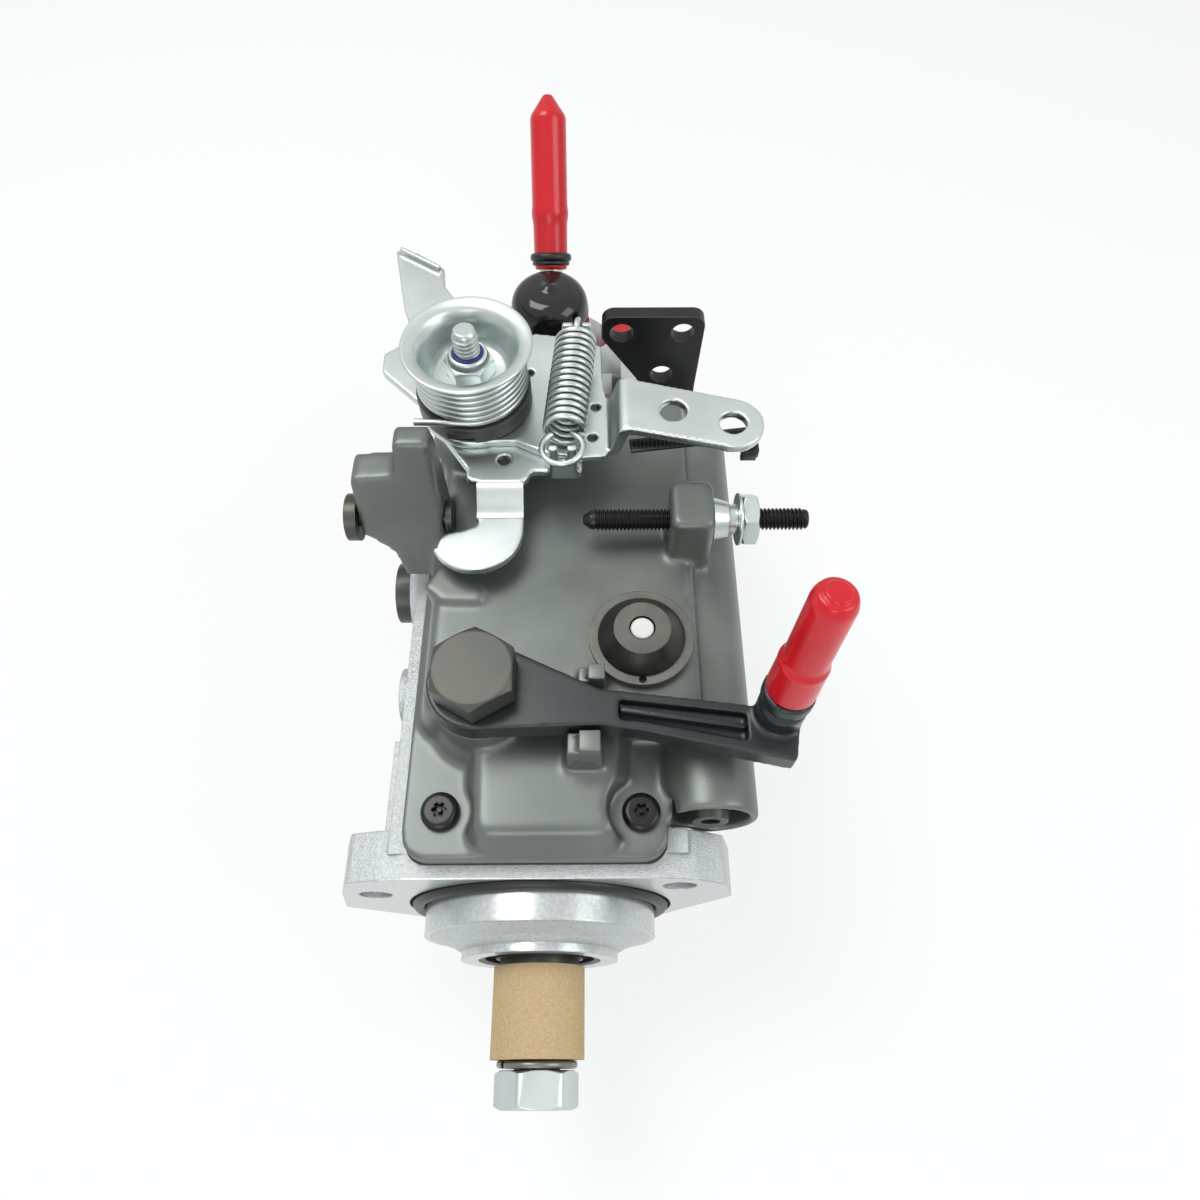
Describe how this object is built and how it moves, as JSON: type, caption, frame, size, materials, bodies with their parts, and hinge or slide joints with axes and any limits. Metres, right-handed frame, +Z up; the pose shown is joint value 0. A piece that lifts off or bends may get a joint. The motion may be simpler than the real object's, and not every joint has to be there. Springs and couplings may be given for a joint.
{
  "type": "diesel injection pump",
  "caption": "Rotary diesel injection pump with a mechanical governor, throttle lever stack, return pipe, cable bracket and transit caps.",
  "frame": {"origin": "centre of the pilot on the drive axis, at the mounting face of the flange", "axes": "-Y out of the drive end, +Y to the rear, +X to the right seen from the drive end, +Z up"},
  "size_m": [0.1437, 0.3228, 0.1974],
  "materials": {
    "cast_aluminium": "sparkling cast, machined faces smooth",
    "grey_casting": "satin dark grey-green coating",
    "zinc_plate": "bright zinc plate",
    "steel": "ground",
    "black_oxide": "black oxide",
    "olive_plate": "dull olive-brown plating",
    "black_plastic": "satin",
    "black_vinyl": "glossy",
    "red_vinyl": "semi-gloss, slightly translucent",
    "rubber": "matt",
    "cardboard": "plain board",
    "gasket": "dark fibre",
    "copper": "soft copper"
  },
  "bodies": {
    "pump": {"housing": "cast_aluminium", "cover_gasket": "gasket", "governor_cover": "grey_casting", "cover_screws": "black_oxide", "flange_seal_ring": "rubber", "shaft_oil_seal": "rubber", "shaft_bush": "steel", "advance_housing": "cast_aluminium", "advance_end_plugs": "zinc_plate", "hydraulic_head": "steel", "socket_screws": "black_oxide", "transfer_pump_liner": "steel", "end_plate": "cast_aluminium", "outlet_fittings": "zinc_plate", "outlet_caps": "red_vinyl", "solenoid_body": "zinc_plate", "solenoid_cap": "black_vinyl", "inlet_union": "zinc_plate", "inlet_ring": "rubber", "inlet_cap": "red_vinyl", "cable_bracket": "black_oxide", "banjo_bolt": "olive_plate", "banjo_washers": "copper", "return_pipe": "black_plastic", "return_pipe_cap": "red_vinyl", "conical_cap": "olive_plate", "max_stop_stud": "black_oxide", "stop_stud_sleeve": "zinc_plate", "stop_stud_nut": "zinc_plate", "idle_stop_screw": "olive_plate", "blanking_plugs": "olive_plate", "governor_spring": "steel"},
    "drive": {"drive_shaft": "steel", "shaft_key": "steel", "shaft_nut": "zinc_plate", "spring_washer": "olive_plate", "shaft_sleeve": "cardboard", "governor_weight_carrier": "steel", "rotor": "steel", "plungers": "steel", "rollers_and_shoes": "steel", "transfer_pump_rotor": "steel", "transfer_pump_blades": "steel"},
    "upper_weight": {"governor_weight_upper": "steel"},
    "lower_weight": {"governor_weight_lower": "steel"},
    "sleeve": {"thrust_sleeve": "steel"},
    "governor_lever": {"governor_arm": "steel"},
    "link": {"metering_link": "steel"},
    "metering": {"metering_valve": "steel"},
    "cam": {"cam_ring": "steel", "advance_pin": "steel"},
    "piston": {"advance_piston": "steel"},
    "throttle": {"throttle_shaft": "zinc_plate", "stop_lever": "zinc_plate", "spring_collar": "black_plastic", "torsion_spring": "zinc_plate", "spring_cup": "zinc_plate", "lever_nut": "zinc_plate", "tension_spring": "zinc_plate"},
    "cable_lever": {"throttle_lever": "zinc_plate"}
  },
  "joints": [
    {"name": "drive_spin", "type": "hinge", "parent": "pump", "child": "drive", "pos_m": [0, 0, 0], "axis": [0, 1, 0], "continuous": true},
    {"name": "sleeve_slide", "type": "slide", "parent": "drive", "child": "sleeve", "axis": [0, 1, 0], "range_m": [0, 0.003], "stiffness_N_per_m": 2000},
    {"name": "upper_weight_swing", "type": "hinge", "parent": "drive", "child": "upper_weight", "pos_m": [0, 0.031, 0.024], "axis": [1, 0, 0], "range_deg": [0, 19.6]},
    {"name": "lower_weight_swing", "type": "hinge", "parent": "drive", "child": "lower_weight", "pos_m": [0, 0.031, -0.024], "axis": [-1, 0, 0], "range_deg": [0, 19.6]},
    {"name": "governor_arm_tilt", "type": "hinge", "parent": "pump", "child": "governor_lever", "pos_m": [0, 0.066, 0.036], "axis": [1, 0, 0], "range_deg": [0, 4.9]},
    {"name": "metering_link_slide", "type": "slide", "parent": "pump", "child": "link", "axis": [0, 1, 0], "range_m": [-0.00115, 0]},
    {"name": "metering_valve_turn", "type": "hinge", "parent": "pump", "child": "metering", "pos_m": [0.009, 0.14, 0.04], "axis": [0, 0, 1], "range_deg": [0, 12]},
    {"name": "cam_ring_turn", "type": "hinge", "parent": "pump", "child": "cam", "pos_m": [0, 0.1, 0], "axis": [0, 1, 0], "range_deg": [-4.5, 4.5], "stiffness_Nm_per_rad": 3},
    {"name": "advance_piston_slide", "type": "slide", "parent": "pump", "child": "piston", "axis": [1, 0, 0], "range_m": [-0.0043, 0.0043]},
    {"name": "throttle_turn", "type": "hinge", "parent": "pump", "child": "throttle", "pos_m": [-0.0192, 0.1375, 0.078], "axis": [0, 0, 1], "range_deg": [-10.8, 24.1], "stiffness_Nm_per_rad": 0.4},
    {"name": "cable_lever_overtravel", "type": "hinge", "parent": "throttle", "child": "cable_lever", "pos_m": [-0.0192, 0.1375, 0.082], "axis": [0, 0, 1], "range_deg": [0, 12], "stiffness_Nm_per_rad": 0.8, "deforming": ["tension_spring"]}
  ],
  "couplings": [
    {"joint": "upper_weight_swing", "follows": "sleeve_slide", "rad_per_m": 113.6},
    {"joint": "lower_weight_swing", "follows": "sleeve_slide", "rad_per_m": 113.6},
    {"joint": "governor_arm_tilt", "follows": "sleeve_slide", "rad_per_m": 27.78},
    {"joint": "metering_link_slide", "follows": "sleeve_slide", "ratio": -0.368},
    {"joint": "metering_valve_turn", "follows": "sleeve_slide", "rad_per_m": 68.1},
    {"joint": "advance_piston_slide", "follows": "cam_ring_turn", "m_per_rad": -0.054}
  ]
}
